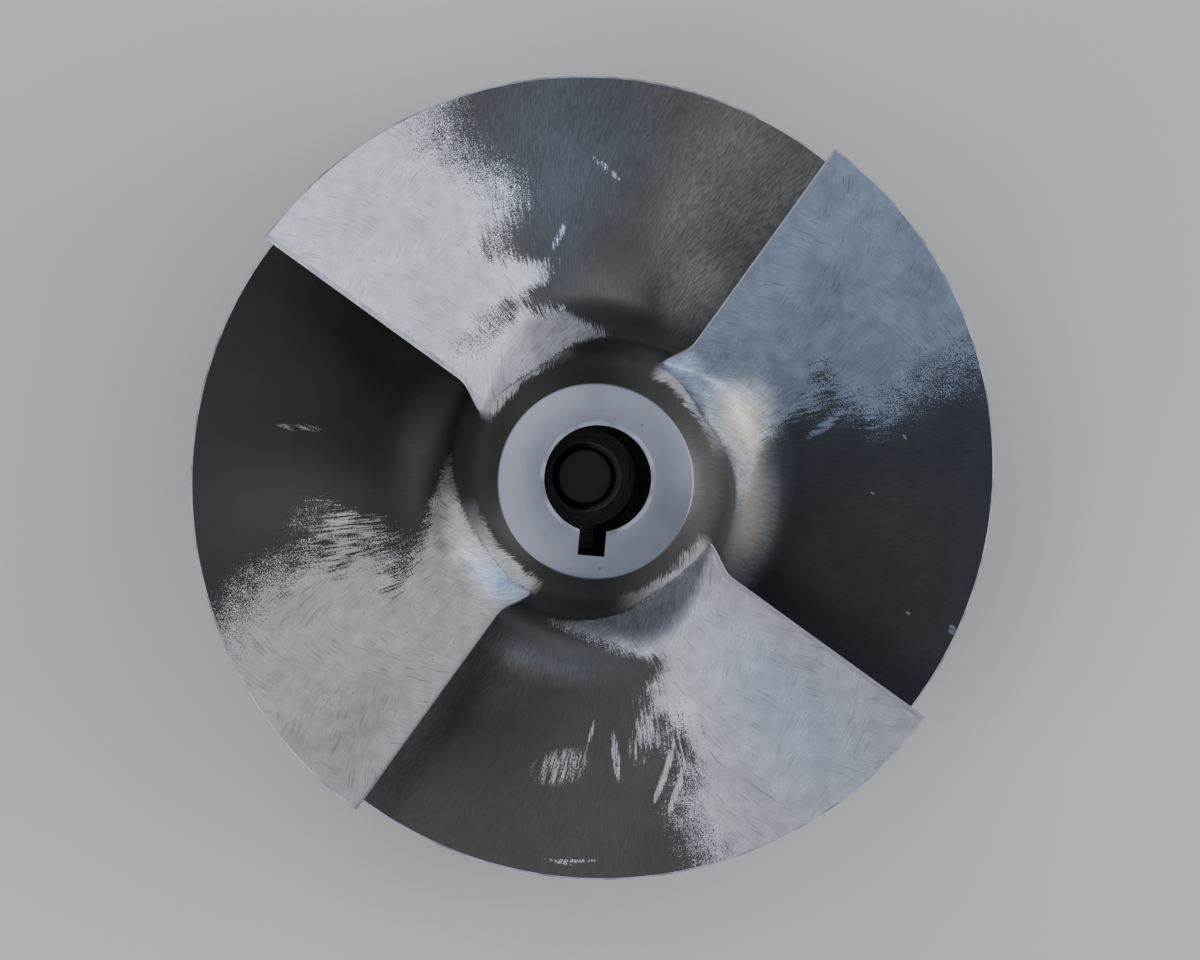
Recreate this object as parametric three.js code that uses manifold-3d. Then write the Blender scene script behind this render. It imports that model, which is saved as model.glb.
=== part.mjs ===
// Four-bladed axial pump impeller, one casting: a round-nosed hub, four helical blades whose
// roots flare into it, and a stepped keyed bore. Millimetres, +Z along the shaft to the inlet.
import * as THREE from "three";
import { ParametricGeometry } from "three/addons/geometries/ParametricGeometry.js";
import { mergeVertices } from "three/addons/utils/BufferGeometryUtils.js";
import Module from "manifold-3d";

// Hub: flat inlet face, round nose, slow cone to the back face.
const HUB_LENGTH = 95;
const FACE_RADIUS = 23;
const BACK_RADIUS = 42;
const HUB_CONE = 8; // radius lost evenly from back to front
const NOSE_POWER = 11; // the higher, the later the nose rounds over
const NOSE_SHIFT = [-0.55, -0.6]; // the nose is cast this far off the shaft axis
const BACK_EDGE_BREAK = 1.5;
const HUB_ROWS = 20;
const HUB_SEGMENTS = 72;

// Blades: number, rim and the place of the leading edges seen from the inlet.
const BLADES = 4;
const TIP_RADIUS = 98.1;
const FIRST_EDGE_ANGLE = 54.1;
const EDGE_HEIGHT = 84;
const TIP_WRAP = 150;
const ROOT_WRAP = 165;
const FALL_PER_DEGREE = 0.2; // at the leading edge
const FALL_GROWTH = 0.00115; // the pitch grows towards the outlet

// The leading edge is radial, and sweeps forward where it runs on to the hub.
const SWEEP = 7.6;
const SWEEP_START = 30;
const SWEEP_WIDTH = 10.5;

// Blade thickness: thin edges, full thickness some way in, a flared root.
const TIP_THICKNESS = 4.2;
const ROOT_THICKNESS = 5.6;
const EDGE_THICKNESS = 1.1;
const EDGE_ROUNDING = 0.5;
const GRIND_LENGTH = 24; // over which the inlet edge is ground thin
const TRAILING_LENGTH = 12;
const ROOT_FILLET = 10;
const EDGE_FILLET = 1.2;
const FILLET_TURN = 76; // degrees of the root arc outside the hub
const BURIED_RADIUS = 24;

// Bore: one inch, stepped down near the back, with a quarter-inch keyway as deep as the step.
const BORE_RADIUS = 12.7;
const BORE_CHAMFER = 1;
const SHOULDER_HEIGHT = 16;
const SMALL_BORE_RADIUS = 7;
const STEP_CHAMFER = 1.8; // where the small bore begins
const END_CHAMFER = 0.8;
const KEY_WIDTH = 6.35;
const KEY_DEPTH = 18.3; // axis to keyway bottom
const KEY_ANGLE = 264.8;
const BORE_SEGMENTS = 48;

const OVERRUN = 5;

const wasm = await Module();
wasm.setup();

const rad = THREE.MathUtils.degToRad;
const lerp = THREE.MathUtils.lerp;

// Rises from 0 to 1 with a level start and end.
function ease(x) {
  return THREE.MathUtils.smoothstep(x, 0, 1);
}

function solid(geometry) {
  const bare = geometry.clone();
  bare.deleteAttribute("normal");
  bare.deleteAttribute("uv");
  const merged = mergeVertices(bare, 1e-4);
  const index = merged.index.array;
  const faces = [];
  for (let i = 0; i < index.length; i += 3) {
    const [a, b, c] = [index[i], index[i + 1], index[i + 2]];
    if (a !== b && b !== c && c !== a) faces.push(a, b, c);
  }
  return new wasm.Manifold(
    new wasm.Mesh({
      numProp: 3,
      vertProperties: merged.attributes.position.array,
      triVerts: new Uint32Array(faces),
    }),
  );
}

function hubRadius(z) {
  const height = THREE.MathUtils.clamp(z / HUB_LENGTH, 0, 1);
  const nose = BACK_RADIUS - HUB_CONE - FACE_RADIUS;
  return BACK_RADIUS - HUB_CONE * height - nose * height ** NOSE_POWER;
}

function hub() {
  const profile = [new THREE.Vector2(0, 0), new THREE.Vector2(BACK_RADIUS - BACK_EDGE_BREAK, 0)];
  for (let i = 0; i <= HUB_ROWS; i++) {
    // Rows crowd together towards the nose, where the outline bends.
    const share = 1 - (1 - i / HUB_ROWS) ** 1.6;
    const z = lerp(BACK_EDGE_BREAK, HUB_LENGTH, share);
    profile.push(new THREE.Vector2(hubRadius(z), z));
  }
  profile.push(new THREE.Vector2(0, HUB_LENGTH));
  const turned = new THREE.LatheGeometry(profile, HUB_SEGMENTS).rotateX(Math.PI / 2);
  const spots = turned.attributes.position;
  for (let i = 0; i < spots.count; i++) {
    const off = (spots.getZ(i) / HUB_LENGTH) ** NOSE_POWER;
    spots.setX(i, spots.getX(i) + off * NOSE_SHIFT[0]);
    spots.setY(i, spots.getY(i) + off * NOSE_SHIFT[1]);
  }
  return solid(turned);
}

// How far the leading edge is swept forward at a radius, in degrees.
function sweep(radius) {
  const x = THREE.MathUtils.clamp((radius - SWEEP_START) / SWEEP_WIDTH, 0, 1);
  return SWEEP * (0.5 + 0.5 * Math.cos(Math.PI * x));
}

// Height of the blade's middle surface, an angle behind the leading edge.
function middleHeight(angle) {
  return EDGE_HEIGHT - FALL_PER_DEGREE * angle - FALL_GROWTH * angle * Math.max(angle, 0);
}

// Angle behind the leading edge, for a share of the blade's length.
function angleBehind(share, radius) {
  const span = (radius - FACE_RADIUS) / (TIP_RADIUS - FACE_RADIUS);
  return lerp(-sweep(radius), lerp(ROOT_WRAP, TIP_WRAP, span), share);
}

// Half of the blade's thickness, from its distances to the two edges.
function halfThickness(share, radius) {
  const angle = angleBehind(share, radius);
  const fromLeading = rad(angle - angleBehind(0, radius)) * radius;
  const fromTrailing = rad(angleBehind(1, radius) - angle) * radius;
  const span = (radius - FACE_RADIUS) / (TIP_RADIUS - FACE_RADIUS);
  const full = lerp(ROOT_THICKNESS, TIP_THICKNESS, span) / 2;
  const thin = EDGE_THICKNESS / 2;
  const growth = Math.min(ease(fromLeading / GRIND_LENGTH), ease(fromTrailing / TRAILING_LENGTH));
  return lerp(thin, full, growth);
}

function filletRadius(share) {
  const arc = rad(angleBehind(share, SWEEP_START + SWEEP_WIDTH)) * BACK_RADIUS;
  const rest = rad(ROOT_WRAP) * BACK_RADIUS - arc;
  const growth = Math.min(ease(arc / GRIND_LENGTH), ease(rest / TRAILING_LENGTH));
  return lerp(EDGE_FILLET, ROOT_FILLET, growth);
}

// Points across one side of the blade, tip first: the flat, the root arc, the buried end.
const FLAT_SHARES = [0, 0.12, 0.3, 0.5, 0.7, 0.86, 1];
const ARC_STEPS = 5;

function sidePoint(step, share, side) {
  const fillet = filletRadius(share);
  const flats = FLAT_SHARES.length;
  if (step < flats) {
    const near = hubRadius(middleHeight(angleBehind(share, BACK_RADIUS))) + fillet;
    const radius = lerp(TIP_RADIUS, near, FLAT_SHARES[step]);
    const angle = angleBehind(share, radius);
    return { radius, angle, height: middleHeight(angle) + side * halfThickness(share, radius) };
  }
  const turn = rad((FILLET_TURN * Math.min(step - flats + 1, ARC_STEPS)) / ARC_STEPS);
  const climb = fillet * (1 - Math.cos(turn));
  const out = fillet * (1 - Math.sin(turn));
  const guess = hubRadius(middleHeight(angleBehind(share, BACK_RADIUS))) + out;
  const angle = angleBehind(share, guess);
  const height = middleHeight(angle) + side * (halfThickness(share, guess) + climb);
  const radius = step < flats + ARC_STEPS ? hubRadius(height) + out : BURIED_RADIUS;
  return { radius, angle, height };
}

// Shares of the blade's length where it has rows; the end rows close to a line.
function rowShares() {
  const rows = [];
  const arc = rad(TIP_WRAP) * TIP_RADIUS;
  rows.push(0, EDGE_ROUNDING / arc);
  const steps = 26;
  for (let i = 1; i < steps; i++) rows.push((i / steps) ** 1.25);
  rows.push(1 - EDGE_ROUNDING / arc, 1);
  return rows;
}

function blade(turn) {
  const rows = rowShares();
  const across = FLAT_SHARES.length + ARC_STEPS + 1;
  const loop = 2 * across;
  function surface(u, v, target) {
    const row = Math.round(v * (rows.length - 1));
    const place = Math.round(u * loop) % loop;
    const side = place < across ? 1 : -1;
    const step = place < across ? place : loop - 1 - place;
    const share = rows[row];
    const point = sidePoint(step, share, side);
    if (row === 0 || row === rows.length - 1) {
      const other = sidePoint(step, share, -side);
      point.height = (point.height + other.height) / 2;
      point.radius = (point.radius + other.radius) / 2;
    }
    const angle = rad(turn - point.angle);
    target.set(point.radius * Math.cos(angle), point.radius * Math.sin(angle), point.height);
  }
  return solid(new ParametricGeometry(surface, loop, rows.length - 1));
}

// A straight round cutter standing on the shaft axis.
function round(radiusTop, radiusBottom, bottom, top) {
  const shape = new THREE.CylinderGeometry(radiusTop, radiusBottom, top - bottom, BORE_SEGMENTS);
  return solid(shape.rotateX(Math.PI / 2).translate(0, 0, (top + bottom) / 2));
}

function bore() {
  const mouth = HUB_LENGTH - BORE_CHAMFER;
  const keyLength = HUB_LENGTH + OVERRUN - SHOULDER_HEIGHT;
  const key = new THREE.BoxGeometry(KEY_DEPTH, KEY_WIDTH, keyLength);
  key.translate(KEY_DEPTH / 2, 0, SHOULDER_HEIGHT + keyLength / 2).rotateZ(rad(KEY_ANGLE));
  const step = SHOULDER_HEIGHT - STEP_CHAMFER;
  return [
    round(BORE_RADIUS, BORE_RADIUS, SHOULDER_HEIGHT, HUB_LENGTH + OVERRUN),
    round(BORE_RADIUS + BORE_CHAMFER + OVERRUN, BORE_RADIUS, mouth, HUB_LENGTH + OVERRUN),
    round(SMALL_BORE_RADIUS, SMALL_BORE_RADIUS, -OVERRUN, SHOULDER_HEIGHT),
    round(SMALL_BORE_RADIUS + STEP_CHAMFER, SMALL_BORE_RADIUS, step, SHOULDER_HEIGHT),
    round(SMALL_BORE_RADIUS, SMALL_BORE_RADIUS + END_CHAMFER + OVERRUN, -OVERRUN, END_CHAMFER),
    solid(key),
  ];
}

function impeller() {
  let body = hub();
  for (let i = 0; i < BLADES; i++) {
    body = body.add(blade(FIRST_EDGE_ANGLE + (360 / BLADES) * i));
  }
  for (const cutter of bore()) body = body.subtract(cutter);
  return body;
}

function meshOf(body, name, material) {
  const made = body.getMesh();
  const geometry = new THREE.BufferGeometry();
  geometry.setAttribute("position", new THREE.BufferAttribute(made.vertProperties, 3));
  geometry.setIndex(new THREE.BufferAttribute(made.triVerts, 1));
  geometry.computeVertexNormals();
  const mesh = new THREE.Mesh(geometry, material);
  mesh.name = name;
  return mesh;
}

const castSteel = new THREE.MeshStandardMaterial({
  color: 0x8a8b90,
  roughness: 0.42,
  metalness: 1,
});

const part = new THREE.Group();
part.add(meshOf(impeller(), "impeller_casting", castSteel));
export default part;
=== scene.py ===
"""A one-piece pump impeller: four helical blades on a round-nosed hub with a keyed bore.

Metres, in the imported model's own frame: the shaft axis is Z and the inlet side is up. The casting
is made by Geometry Nodes round a turned hub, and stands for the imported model's one solid.
"""

from functools import partialmethod
import math

import bpy
from mathutils import Matrix, Vector


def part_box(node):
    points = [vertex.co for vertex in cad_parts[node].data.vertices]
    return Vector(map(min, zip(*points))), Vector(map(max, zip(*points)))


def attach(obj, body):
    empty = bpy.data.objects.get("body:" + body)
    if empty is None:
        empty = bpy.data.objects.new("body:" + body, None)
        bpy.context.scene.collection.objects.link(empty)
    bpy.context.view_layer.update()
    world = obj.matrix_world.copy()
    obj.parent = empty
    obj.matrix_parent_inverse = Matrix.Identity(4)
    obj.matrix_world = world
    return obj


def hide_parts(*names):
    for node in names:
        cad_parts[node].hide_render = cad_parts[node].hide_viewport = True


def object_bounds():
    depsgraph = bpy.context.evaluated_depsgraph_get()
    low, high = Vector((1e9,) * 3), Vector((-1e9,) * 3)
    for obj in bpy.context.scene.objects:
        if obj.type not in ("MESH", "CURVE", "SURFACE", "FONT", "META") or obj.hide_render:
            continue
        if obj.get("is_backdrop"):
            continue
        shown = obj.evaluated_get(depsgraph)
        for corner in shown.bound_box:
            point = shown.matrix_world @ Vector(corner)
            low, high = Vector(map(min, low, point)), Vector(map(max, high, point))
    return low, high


bl_info = {
    "name": "Pump impeller",
    "version": (1, 0, 0),
    "blender": (4, 5, 0),
    "location": "View3D > Sidebar > Impeller",
    "description": "A cast and hand-ground axial pump impeller with a keyed bore",
    "category": "Add Mesh",
}

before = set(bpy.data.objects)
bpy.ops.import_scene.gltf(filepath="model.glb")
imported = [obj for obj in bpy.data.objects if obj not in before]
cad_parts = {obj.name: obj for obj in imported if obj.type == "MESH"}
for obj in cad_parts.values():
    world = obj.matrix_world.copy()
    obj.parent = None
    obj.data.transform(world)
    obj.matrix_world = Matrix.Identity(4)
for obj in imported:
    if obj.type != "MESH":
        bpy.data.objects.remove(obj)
NODE = "impeller_casting"
PIECE = "impeller_body"
CAD_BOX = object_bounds()
LOW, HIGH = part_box(NODE)
MM = 0.001
TURN = 2 * math.pi
CREASE = math.radians(30)


def length(name, about, millimetres):
    """A size in metres that the sidebar shows as a distance."""
    return bpy.props.FloatProperty(
        name=name, description=about, default=millimetres * MM, unit="LENGTH", precision=4
    )


def angle(name, about, degrees):
    """An angle in radians that the sidebar shows in degrees."""
    return bpy.props.FloatProperty(
        name=name, description=about, default=math.radians(degrees), unit="ROTATION"
    )


def share(name, about, default):
    """A plain number without a unit."""
    return bpy.props.FloatProperty(name=name, description=about, default=default, precision=4)


def whole(name, about, default):
    return bpy.props.IntProperty(name=name, description=about, default=default, min=1)


def colour(name, about, default):
    return bpy.props.FloatVectorProperty(
        name=name, description=about, default=default, subtype="COLOR", size=3, min=0, soft_max=1
    )


class HubSizes(bpy.types.PropertyGroup):
    """The turned hub and its bore."""

    height: length("Height", "From the back face to the inlet face", (HIGH.z - LOW.z) / MM)
    face_radius: length("Face radius", "Outer radius of the inlet face", 23)
    back_radius: length("Back radius", "Radius at the back face", 42)
    cone: length("Cone", "Radius lost evenly from back to front", 8)
    nose_power: share("Nose power", "The higher, the later the nose rounds over", 11)
    nose_shift_x: length("Nose shift X", "How far off centre the nose was cast, along X", -0.55)
    nose_shift_y: length("Nose shift Y", "How far off centre the nose was cast, along Y", -0.6)
    face_break: length("Face break", "Broken edge round the inlet face", 0.2)
    back_break: length("Back break", "Broken edge round the back face", 1.5)
    bore_radius: length("Bore radius", "Radius of the one-inch shaft bore", 12.7)
    bore_chamfer: length("Bore chamfer", "Chamfer at the bore's mouth", 1.0)
    shoulder: length("Shoulder", "Height of the step inside the bore", 16)
    small_radius: length("Small bore radius", "Bore radius behind the step", 7)
    step_chamfer: length("Step chamfer", "Chamfer where the small bore begins", 1.8)
    end_chamfer: length("End chamfer", "Chamfer of the small bore at the back face", 0.8)
    key_width: length("Key width", "Width of the quarter-inch keyway", 6.35)
    key_depth: length("Key depth", "From the shaft axis to the keyway's bottom", 18.3)
    key_angle: angle("Key angle", "Direction of the keyway", 264.8)
    rows: whole("Rows", "Steps along the hub's outline", 90)
    segments: whole("Segments", "Steps round the hub", 240)


class BladeSizes(bpy.types.PropertyGroup):
    """The helical blades, all alike."""

    count: whole("Blades", "Number of blades", 4)
    tip_radius: length("Tip radius", "Radius over the blade tips", (HIGH.x - LOW.x) / 2 / MM)
    buried_radius: length("Buried radius", "Radius where a blade ends inside the hub", 24)
    edge_height: length("Edge height", "Height of the leading edges", 84)
    first_angle: angle("First angle", "Direction of the first leading edge", 54.1)
    tip_wrap: angle("Tip wrap", "Angle that a blade covers at its tip", 150)
    root_wrap: angle("Root wrap", "Angle that a blade covers at the hub", 165)
    fall: length("Fall", "Drop in a degree at the leading edge", 0.2)
    growth: length("Growth", "Growth of the drop in a degree", 0.00115)
    sweep: angle("Sweep", "Forward sweep of the leading edge at the hub", 7.6)
    sweep_start: length("Sweep start", "Radius with the full sweep", 30)
    sweep_width: length("Sweep width", "Over which the sweep dies out", 10.5)
    tip_thickness: length("Tip thickness", "Thickness near the tip", 4.2)
    root_thickness: length("Root thickness", "Thickness near the hub", 5.6)
    edge_thickness: length("Edge thickness", "Thickness at the inlet and outlet edges", 1.1)
    edge_rounding: length("Edge rounding", "Length of the rounded nose of an edge", 0.6)
    grind_length: length("Grind length", "Over which the inlet edge is ground thin", 24)
    trailing_length: length("Trailing length", "Over which the outlet edge thins", 12)
    root_fillet: length("Root fillet", "Radius of the root's hollow", 10)
    edge_fillet: length("Edge fillet", "Radius of the hollow at the edges", 1.2)
    fillet_turn: angle("Fillet turn", "Part of the root arc outside the hub", 84)
    rim_break: length("Rim break", "Broken edges of the tips", 0.5)
    rows: whole("Rows", "Steps along a blade", 150)
    flats: whole("Flats", "Steps from the tip to the root", 30)
    arcs: whole("Arcs", "Steps round the root's hollow", 12)
    waviness: length("Waviness", "Unevenness of the cast surface", 0.16)
    wave_scale: share("Wave scale", "Waves in a metre", 38)
    seed: share("Seed", "Picks the waves", 3)
    seam_passes: whole("Seam passes", "How often the seam at the root is smoothed", 14)


class Finish(bpy.types.PropertyGroup):
    """Colours of the bare steel and of the floor."""

    cast: colour("Cast skin", "The dark blasted skin", (0.085, 0.083, 0.082))
    ground: colour("Ground", "The hand-ground steel", (0.42, 0.42, 0.44))
    turned: colour("Turned", "The turned faces", (0.285, 0.305, 0.375))
    bevel: colour("Bevel", "The narrow bevel along each leading edge", (0.28, 0.29, 0.35))
    # The seat's colour is rubbed steel, shown only on the bore's right side as a painted highlight.
    seat: colour("Seat", "The rubbed seat of the small bore", (0.85, 0.9, 1.0))
    # Painted reflection of the sky: the bluish tint laid into the blades' steel.
    painted_sky_tint: colour("Painted reflection", "What a bluish blade's steel is seen through", (0.79, 0.95, 1.25))
    floor: colour("Floor", "The studio floor", (0.92, 0.92, 0.92))


# Node trees and the numbers inside them


def math_node(tree, operation, *values):
    """Adds one Math node fed with the values, each a plain number or a Field."""
    node = tree.nodes.new("ShaderNodeMath")
    node.operation = operation
    for place, value in enumerate(values):
        feed(tree, value, node.inputs[place])
    return Field(tree, node.outputs[0])


def feed(tree, value, socket):
    """Links a Field to a socket, or sets the socket to a plain value."""
    if isinstance(value, Field):
        tree.links.new(value.socket, socket)
    else:
        socket.default_value = value


class Field:
    """A number that varies over a mesh or a surface; arithmetic on it adds Math nodes."""

    def __init__(self, tree, socket):
        self.tree = tree
        self.socket = socket

    def do(self, operation, *others):
        return math_node(self.tree, operation, self, *others)

    def __rsub__(self, other):
        return math_node(self.tree, "SUBTRACT", other, self)

    def __rtruediv__(self, other):
        return math_node(self.tree, "DIVIDE", other, self)

    def __neg__(self):
        return self * -1

    __add__ = __radd__ = partialmethod(do, "ADD")
    __sub__ = partialmethod(do, "SUBTRACT")
    __mul__ = __rmul__ = partialmethod(do, "MULTIPLY")
    __truediv__ = partialmethod(do, "DIVIDE")
    __pow__ = partialmethod(do, "POWER")
    cos = partialmethod(do, "COSINE")
    sin = partialmethod(do, "SINE")
    sqrt = partialmethod(do, "SQRT")
    over = partialmethod(do, "GREATER_THAN")
    under = partialmethod(do, "LESS_THAN")
    smaller = partialmethod(do, "MINIMUM")
    larger = partialmethod(do, "MAXIMUM")

    def clamped(self):
        return self.larger(0.0).smaller(1.0)

    def rising(self, start, end, low=0.0, high=1.0, kind="LINEAR"):
        """Rises evenly from low at start to high at end, and stays there."""
        node = self.tree.nodes.new("ShaderNodeMapRange")
        node.interpolation_type = kind
        ends = {"From Min": start, "From Max": end, "To Min": low, "To Max": high}
        for name, value in {"Value": self, **ends}.items():
            feed(self.tree, value, node.inputs[name])
        return Field(self.tree, node.outputs["Result"])

    def eased(self, start=0.0, end=1.0):
        """Rises from 0 at start to 1 at end, level at both."""
        return self.rising(start, end, kind="SMOOTHSTEP")


def mixed(first, second, amount):
    """first where amount is 0, second where it is 1."""
    return amount * (second - first) + first


class Nodes:
    """A node tree under construction."""

    def __init__(self, tree):
        self.nodes = tree

    def socket(self, name, kind, way="INPUT"):
        """Adds a socket to the tree's own inputs or outputs."""
        socket_type = "NodeSocket" + kind
        return self.nodes.interface.new_socket(name, in_out=way, socket_type=socket_type)

    def add(self, kind, settings=(), **links):
        """Adds a node; links gives its inputs by name."""
        node = self.nodes.nodes.new(kind)
        for name, value in dict(settings).items():
            setattr(node, name, value)
        for name, value in links.items():
            feed(self.nodes, value, node.inputs[name])
        return node

    def field(self, kind, settings=(), **links):
        return Field(self.nodes, self.add(kind, settings, **links).outputs[0])

    def vector(self, x, y, z):
        return self.field("ShaderNodeCombineXYZ", X=x, Y=y, Z=z)

    def parts(self, vector):
        """The X, Y and Z of a vector."""
        node = self.add("ShaderNodeSeparateXYZ", Vector=vector)
        return [Field(self.nodes, node.outputs[axis]) for axis in "XYZ"]

    def vectors(self, operation, first, second):
        """Adds one Vector Math node; the second value of SCALE is a number."""
        node = self.add("ShaderNodeVectorMath", {"operation": operation})
        feed(self.nodes, first, node.inputs[0])
        feed(self.nodes, second, node.inputs["Scale" if operation == "SCALE" else 1])
        return Field(self.nodes, node.outputs["Vector"])

    def noise(self, vector, scale, detail=2.0, seed=0.0):
        """Noise from about 0.2 to 0.8, with 0.5 in the middle."""
        if isinstance(seed, Field) or seed:
            vector = self.vectors("ADD", vector, self.vector(0.0, 0.0, seed))
        return self.field("ShaderNodeTexNoise", Vector=vector, Scale=scale, Detail=detail)


class Tree(Nodes):
    """A Geometry Nodes tree with named inputs."""

    def __init__(self, name):
        super().__init__(bpy.data.node_groups.new(name, "GeometryNodeTree"))
        self.entry = self.nodes.nodes.new("NodeGroupInput")
        self.places = {}

    def input(self, name, kind="Float"):
        self.places[name] = self.socket(name, kind).identifier
        return Field(self.nodes, self.entry.outputs[name])

    def shape(self, kind, **links):
        return self.field("GeometryNode" + kind, **links)

    def attribute(self, name):
        return self.field("GeometryNodeInputNamedAttribute", {"data_type": "FLOAT"}, Name=name)

    def store(self, geometry, name, value, domain="POINT"):
        kind = {"data_type": "FLOAT", "domain": domain}
        links = {"Geometry": geometry, "Name": name, "Value": value}
        return self.field("GeometryNodeStoreNamedAttribute", kind, **links)

    def blurred(self, value, passes, kind="FLOAT"):
        """The value smoothed over neighbouring points, so many times."""
        node = self.add("GeometryNodeBlurAttribute", {"data_type": kind}, Iterations=passes)
        live = [socket for socket in node.inputs if socket.enabled]
        feed(self.nodes, value, live[0])
        return Field(self.nodes, next(socket for socket in node.outputs if socket.enabled))

    def combined(self, operation, *links):
        """Closed meshes joined, or cut, each given with the input that it goes into."""
        kind = {"operation": operation, "solver": "MANIFOLD"}
        node = self.add("GeometryNodeMeshBoolean", kind)
        for mesh, place in links:
            feed(self.nodes, mesh, node.inputs[place])
        return Field(self.nodes, node.outputs["Mesh"])

    def finish(self, geometry):
        self.socket("Geometry", "Geometry", "OUTPUT")
        self.add("NodeGroupOutput", Geometry=geometry)


# The blades


# How far each blade is ground behind its leading edge: radius in millimetres, degrees.
REACHES = (
    (
        *((36, 63), (38, 52), (41, 42), (44, 39), (47, 38), (50, 36), (54, 35.5), (58, 35.5)),
        *((62, 36), (66, 39.5), (70, 41), (75, 40), (80, 38), (90, 37), (98, 36.5)),
    ),
    (
        *((35, 58), (37, 53), (40, 45), (43, 38), (45, 33), (48, 34), (50, 38), (53, 41)),
        *((55.5, 35), (58, 28), (62, 29), (66, 34), (70, 37), (75, 36), (80, 34), (86, 31)),
        (98, 30.5),
    ),
    (
        *((36, 60), (38, 51), (40, 45), (42, 37), (44, 34), (47, 32), (50, 31), (54, 33)),
        *((58, 36), (62, 36), (66, 37.5), (70, 38.5), (73, 38.5), (78, 37), (83, 36), (88, 35)),
        (98, 31.5),
    ),
    (
        *((37.5, 63), (40, 50), (42, 45), (44, 42), (45.5, 36), (48, 33.5), (50, 36), (52, 40)),
        *((56, 41), (60, 39), (64, 37), (68, 35.5), (72, 35.5), (76, 36), (80, 37.5), (84, 39.5)),
        *((88, 38.5), (98, 36)),
    ),
)
REACH_RADII = (30, 100)  # the curves' first and last radius
REACH_TOP = 80  # the curves' highest angle

# Broad patches that the grinder touched or missed: blade, degrees behind its leading edge, radius,
# half length, half width in millimetres, lean from the radius in degrees, strength; below zero it
# was missed.
PATCHES = (
    (0, 33, 60, 3, 5.5, 10, -0.1),
    (1, 24, 45.5, 8, 2.2, 84, -0.06),
    (1, 36.5, 45, 4, 3.5, 0, -0.25),
    (2, 41, 61.5, 6, 4, 20, 0.06),
    (2, 27, 57.5, 5.5, 1.1, 112, -0.16),
    (2, 31, 50, 5, 2.6, 120, -0.14),
    (3, 37, 73, 8, 2.2, 20, -0.2),
)

# Single strokes of the grinder outside its zones, given in the same way.
STROKES = (
    (0, 41.2, 57.5, 5.8, 1.3, -24, 0.6),
    (0, 42.6, 74, 5, 0.8, -16, 0.4),
    (0, 46.5, 76.3, 0.9, 0.3, 60, 1.5),
    (0, 77.3, 84.8, 0.6, 0.4, 0, 1.5),
    (0, 57.2, 68.3, 0.7, 0.3, 30, 1.2),
    (0, 77, 96.5, 1.3, 1, 60, 0.5),
    (1, 45.8, 59.5, 3.8, 1, 36, 0.2),
    (1, 56.5, 75.5, 4.8, 0.8, 127, 0.2),
    (2, 63.9, 72.5, 6, 0.9, -6, 0.1),
    (3, 39.2, 78, 8.6, 0.9, 32, 0.9),
    (3, 40.4, 73, 9.2, 0.9, 31, 0.9),
    (3, 42, 62.5, 9, 3.8, 30, 0.3),
    (3, 49.7, 68, 6.6, 1, -3, 0.45),
    (3, 54.9, 63, 4.2, 0.5, 12, 0.2),
    (3, 60.5, 71, 7.2, 4.2, 66, 0.15),
    (3, 57, 93.6, 5.5, 0.5, 86, 0.3),
    (3, 59.5, 94.2, 4, 0.35, 98, 0.3),
)

# Painted highlights and painted shade on the steel, soft ovals given in the same way; last the factor.
PAINTED_LIGHT_AND_SHADE = (
    (0, 31, 38.5, 13, 11, 90, 3.8),
    (0, 50, 37, 12, 2.4, 96, 2.4),
    (0, 10, 33.5, 17, 5, 90, 2.6),
    (0, 69, 40.5, 30, 8.5, 80, 3.4),
    (0, 91, 70, 40, 11, 0, 1.4),
    (1, 28, 36, 22, 8, 92, 1.6),
    (1, 2, 55, 26, 6, 0, 1.2),
    (1, 32, 66, 24, 7, 6, 1.25),
    (1, 46, 78, 28, 13, 0, 1.3),
    (1, 60, 56, 13, 12, 0, 0.6),
    (1, 80, 70, 38, 20, 0, 2.4),
    (1, 84, 52, 15, 13, 0, 2.4),
    (1, 91, 70, 40, 9, 0, 1.7),
    (1, 75, 39.5, 20, 5.5, 82, 0.4),
    (2, 24, 34.5, 20, 7, 88, 3.2),
    (2, 50, 74, 32, 15, 0, 1.8),
    (2, 66, 44, 28, 7.5, 92, 3),
    (2, 86, 52, 12, 14, 0, 1.7),
    (2, 91, 72, 42, 14, 0, 2.3),
    (3, 33, 60, 9, 4, 10, 1.35),
    (3, 25, 36, 18, 4, 92, 0.8),
    (3, 48, 41, 11, 1.9, 110, 1.6),
    (3, 72, 46.5, 26, 5.5, 92, 2.5),
    (3, 80, 52, 16, 12, 0, 1.9),
    (3, 74, 74, 26, 18, 0, 0.8),
    (3, 91, 70, 40, 8, 0, 2.8),
)

# Painted reflections: bluish places, or warmer ones where the last number is below zero, given in the
# same way.
PAINTED_REFLECTION_TINTS = (
    (0, 31, 39, 15, 12, 90, -1.3),
    (0, 66, 39, 34, 9.5, 84, -1.15),
    (0, 72, 70, 42, 34, 0, -0.9),
    (1, 50, 82, 34, 32, 0, 0.9),
    (1, 46, 58, 24, 12, 0, 0.6),
    (1, 80, 66, 34, 17, 0, -0.4),
    (2, 6, 34, 14, 5, 88, 1.3),
    (3, 15, 72, 40, 18, 0, 0.6),
    (3, 66, 46, 28, 5, 92, 0.5),
    (3, 72, 70, 38, 20, 0, -0.4),
    (3, 30, 38, 14, 5, 92, 0.3),
)


def distance(x, y):
    """How far a place lies from the shaft axis."""
    return (x * x + y * y).sqrt()


def number_is(value, number):
    """1 where the value is that whole number, 0 elsewhere."""
    return value.over(number - 0.5) * value.under(number + 0.5)


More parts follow.
